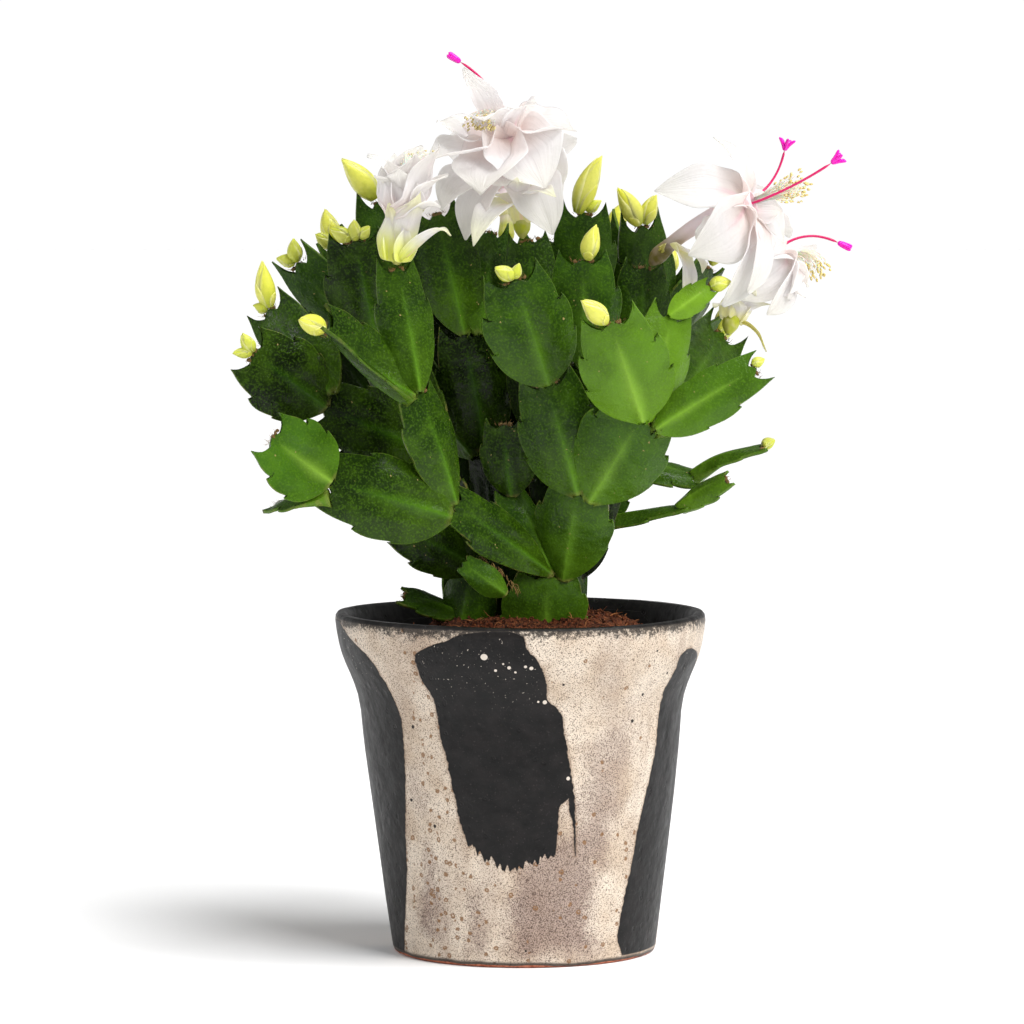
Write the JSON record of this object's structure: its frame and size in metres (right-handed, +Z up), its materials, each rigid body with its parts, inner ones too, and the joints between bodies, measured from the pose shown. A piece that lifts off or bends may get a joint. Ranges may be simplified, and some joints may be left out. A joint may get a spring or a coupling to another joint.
{
  "type": "potted flowering cactus",
  "caption": "Christmas cactus with arching, toothed, jointed leaf pads, buds and white tubular blooms, growing from soil in a round tapered glazed stoneware pot.",
  "frame": {"origin": "centre of the underside of the pot's foot, on the surface that the pot stands on", "axes": "+Z up along the pot's axis; -Y is the front, which the two foremost blooms and the brushed stroke on the pot face; +X is to the right seen from the front"},
  "size_m": [0.2322, 0.2169, 0.3395],
  "materials": {
    "pot_glaze": "speckled cream glaze with broad dark brushed strokes, gloss",
    "potting_soil": "moist peat with fibres, matt",
    "pads": "waxy green plant skin, satin to gloss",
    "buds": "smooth yellow-green, satin",
    "petals": "thin translucent white with a pinkish throat, satin",
    "style": "crimson, satin",
    "stamens": "pale cream yellow, satin"
  },
  "bodies": {
    "root": {"pot": "pot_glaze", "soil": "potting_soil", "stem_front": "pads", "stem_left": "pads", "stem_middle": "pads", "stem_right": "pads", "stem_right_back": "pads", "stem_far_1": "pads", "stem_far_2": "pads", "stem_far_3": "pads", "stem_far_4": "pads", "buds_a9": "buds", "bud_a4": "buds", "buds_b1": "buds", "buds_b2": "buds", "buds_b3": "buds", "bud_b4": "buds", "buds_e1": "buds", "bud_f1": "buds", "bud_g1": "buds", "buds_m1": "buds", "buds_l1": "buds", "bud_g5": "buds", "bud_g4": "buds", "bud_j2": "buds", "buds_far_1_p4": "buds", "buds_far_1_p5": "buds", "buds_far_1_p6": "buds", "buds_far_2_p4": "buds", "buds_far_2_p5": "buds", "buds_far_3_p5": "buds", "buds_far_3_p6": "buds", "buds_far_4_p4": "buds", "buds_far_4_p5": "buds", "buds_far_4_p6": "buds", "bloom_a_petals": "petals", "bloom_a_stamens": "stamens", "bloom_a_style": "style", "bloom_b_petals": "petals", "bloom_b_stamens": "stamens", "bloom_b_style": "style", "bloom_c_petals": "petals", "bloom_c_stamens": "stamens", "bloom_c_style": "style", "bloom_d_petals": "petals", "bloom_d_stamens": "stamens", "bloom_d_style": "style", "bloom_e_petals": "petals", "bloom_e_stamens": "stamens", "bloom_e_style": "style", "bloom_f_petals": "petals", "bloom_f_stamens": "stamens", "bloom_f_style": "style", "bloom_g_petals": "petals", "bloom_g_stamens": "stamens", "bloom_g_style": "style"}
  },
  "joints": []
}
